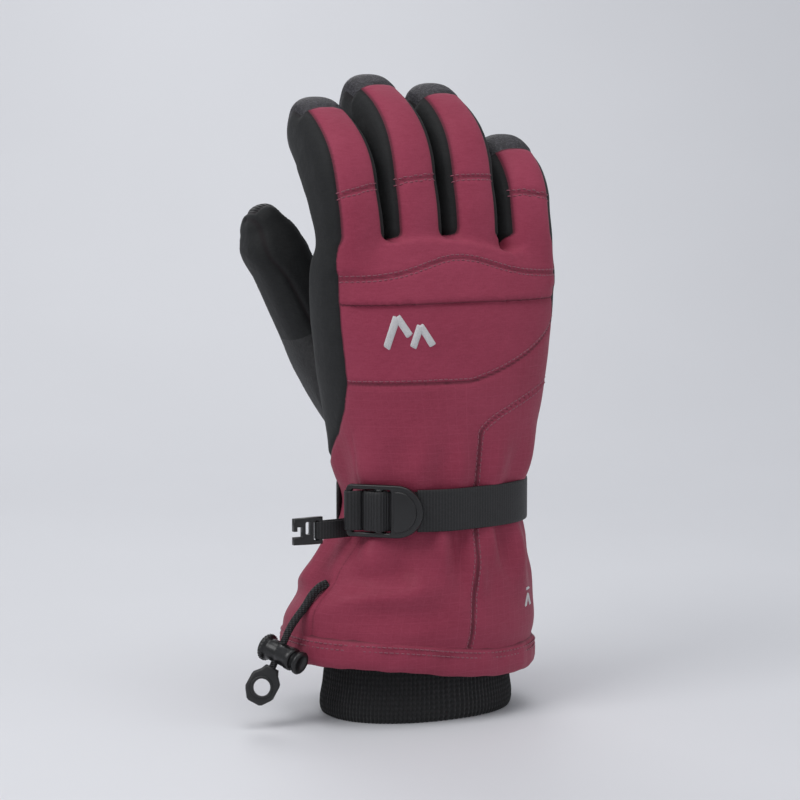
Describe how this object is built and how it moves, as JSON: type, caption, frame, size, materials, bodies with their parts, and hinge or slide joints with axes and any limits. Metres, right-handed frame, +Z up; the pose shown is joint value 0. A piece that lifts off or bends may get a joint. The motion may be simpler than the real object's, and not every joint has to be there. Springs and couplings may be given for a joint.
{
  "type": "ski glove",
  "caption": "Padded right-hand winter glove with a flared gauntlet, knitted inner cuff, wrist strap with ladder-lock buckle, small hook clip and hem drawcord with a barrel lock.",
  "frame": {"origin": "Middle of the knitted cuff's opening, on the surface that the glove stands on", "axes": "+Z up along the glove towards the fingertips, -Y the back of the hand, +Y the palm, -X the thumb side"},
  "size_m": [0.1615, 0.0963, 0.3091],
  "materials": {
    "red_shell": "brushed stretch softshell",
    "black_shell": "softshell",
    "palm_leather": "fine grain",
    "cap_grain": "coarse grain",
    "insulation": "wadding",
    "lining": "brushed tricot",
    "knit": "fine rib knit",
    "webbing": "ribbed",
    "buckle_plastic": "moulded",
    "cord_end_plastic": "satin moulded",
    "elastic": "braided",
    "spring_steel": "drawn wire",
    "embroidery": "satin stitch"
  },
  "bodies": {
    "hand": {"storm_cuff": "knit", "hem_band": "red_shell", "gauntlet_back": "red_shell", "gauntlet_side": "red_shell", "gauntlet_palm": "red_shell", "gauntlet_lining": "lining", "back_panel": "red_shell", "knuckle_yoke": "red_shell", "knuckle_panel": "red_shell", "side_panel": "black_shell", "palm_panel": "palm_leather", "hand_insulation": "insulation", "hand_lining": "lining", "finger_gussets": "black_shell", "gusset_padding": "insulation", "thumb_root": "palm_leather", "emblem": "embroidery", "wrist_strap": "webbing", "strap_tail": "webbing", "strap_anchor": "webbing", "clip_tab": "webbing", "drawcord": "elastic", "cord_end": "cord_end_plastic"},
    "buckle": {"buckle": "buckle_plastic", "strap_fold": "webbing"},
    "clip": {"glove_clip": "buckle_plastic"},
    "cord_lock": {"cord_lock_body": "buckle_plastic", "cord_lock_spring": "spring_steel"},
    "lock_button": {"cord_lock_button": "buckle_plastic"},
    "index_base": {"index_base_back": "red_shell", "index_base_sides": "black_shell", "index_base_padding": "insulation"},
    "index_tip": {"index_tip_back": "red_shell", "index_tip_sides": "black_shell", "index_tip_cap": "cap_grain", "index_tip_padding": "insulation"},
    "middle_base": {"middle_base_back": "red_shell", "middle_base_sides": "black_shell", "middle_base_padding": "insulation"},
    "middle_tip": {"middle_tip_back": "red_shell", "middle_tip_sides": "black_shell", "middle_tip_cap": "cap_grain", "middle_tip_padding": "insulation"},
    "ring_base": {"ring_base_back": "red_shell", "ring_base_sides": "black_shell", "ring_base_padding": "insulation"},
    "ring_tip": {"ring_tip_back": "red_shell", "ring_tip_sides": "black_shell", "ring_tip_cap": "cap_grain", "ring_tip_padding": "insulation"},
    "little_base": {"little_base_back": "red_shell", "little_base_sides": "black_shell", "little_base_padding": "insulation"},
    "little_tip": {"little_tip_back": "red_shell", "little_tip_sides": "black_shell", "little_tip_cap": "cap_grain", "little_tip_padding": "insulation"},
    "thumb_base": {"thumb_base_shell": "black_shell"},
    "thumb_tip": {"thumb_tip_shell": "palm_leather", "thumb_padding": "insulation"}
  },
  "joints": [
    {"name": "index_knuckle", "type": "hinge", "parent": "hand", "child": "index_base", "pos_m": [-0.0405, -0.008, 0.24], "axis": [-0.9994, 0, -0.0349], "range_deg": [-10, 40], "stiffness_Nm_per_rad": 0.6},
    {"name": "index_bend", "type": "hinge", "parent": "index_base", "child": "index_tip", "pos_m": [-0.04135, -0.00195, 0.26424], "axis": [-0.9994, 0, -0.0349], "range_deg": [-10, 55], "stiffness_Nm_per_rad": 0.6},
    {"name": "middle_knuckle", "type": "hinge", "parent": "hand", "child": "middle_base", "pos_m": [-0.0095, -0.008, 0.241], "axis": [-1, 0, -0.0087], "range_deg": [-10, 40], "stiffness_Nm_per_rad": 0.6},
    {"name": "middle_bend", "type": "hinge", "parent": "middle_base", "child": "middle_tip", "pos_m": [-0.00977, -0.00026, 0.27205], "axis": [-1, 0, -0.0087], "range_deg": [-10, 55], "stiffness_Nm_per_rad": 0.6},
    {"name": "ring_knuckle", "type": "hinge", "parent": "hand", "child": "ring_base", "pos_m": [0.0215, -0.008, 0.24], "axis": [-1, 0, 0.0087], "range_deg": [-10, 40], "stiffness_Nm_per_rad": 0.6},
    {"name": "ring_bend", "type": "hinge", "parent": "ring_base", "child": "ring_tip", "pos_m": [0.02176, -0.0005, 0.27008], "axis": [-1, 0, 0.0087], "range_deg": [-10, 55], "stiffness_Nm_per_rad": 0.6},
    {"name": "little_knuckle", "type": "hinge", "parent": "hand", "child": "little_base", "pos_m": [0.0525, -0.008, 0.231], "axis": [-0.9994, 0, 0.0349], "range_deg": [-10, 30], "stiffness_Nm_per_rad": 0.6},
    {"name": "little_bend", "type": "hinge", "parent": "little_base", "child": "little_tip", "pos_m": [0.05318, -0.00316, 0.25039], "axis": [-0.9994, 0, 0.0349], "range_deg": [-10, 45], "stiffness_Nm_per_rad": 0.6},
    {"name": "thumb_swing", "type": "hinge", "parent": "hand", "child": "thumb_base", "pos_m": [-0.037, 0.036, 0.186], "axis": [0, -1, 0], "range_deg": [0, 35], "stiffness_Nm_per_rad": 0.6},
    {"name": "thumb_bend", "type": "hinge", "parent": "thumb_base", "child": "thumb_tip", "pos_m": [-0.05062, 0.036, 0.2116], "axis": [-0.8829, 0, -0.4695], "range_deg": [-10, 40], "stiffness_Nm_per_rad": 0.6},
    {"name": "buckle_tilt", "type": "hinge", "parent": "hand", "child": "buckle", "pos_m": [-0.04573, -0.01886, 0.103], "axis": [0, 0, -1], "range_deg": [0, 30]},
    {"name": "clip_swing", "type": "hinge", "parent": "hand", "child": "clip", "pos_m": [-0.0572, -0.01, 0.093], "axis": [0, 0, 1], "range_deg": [-60, 60]},
    {"name": "lock_slide", "type": "slide", "parent": "hand", "child": "cord_lock", "axis": [0.4339, -0.062, 0.8988], "range_m": [0, 0.01]},
    {"name": "button_press", "type": "slide", "parent": "cord_lock", "child": "lock_button", "axis": [-0.3974, 0.8822, 0.2527], "range_m": [0, 0.003], "stiffness_N_per_m": 200, "springref_m": -0.001}
  ]
}
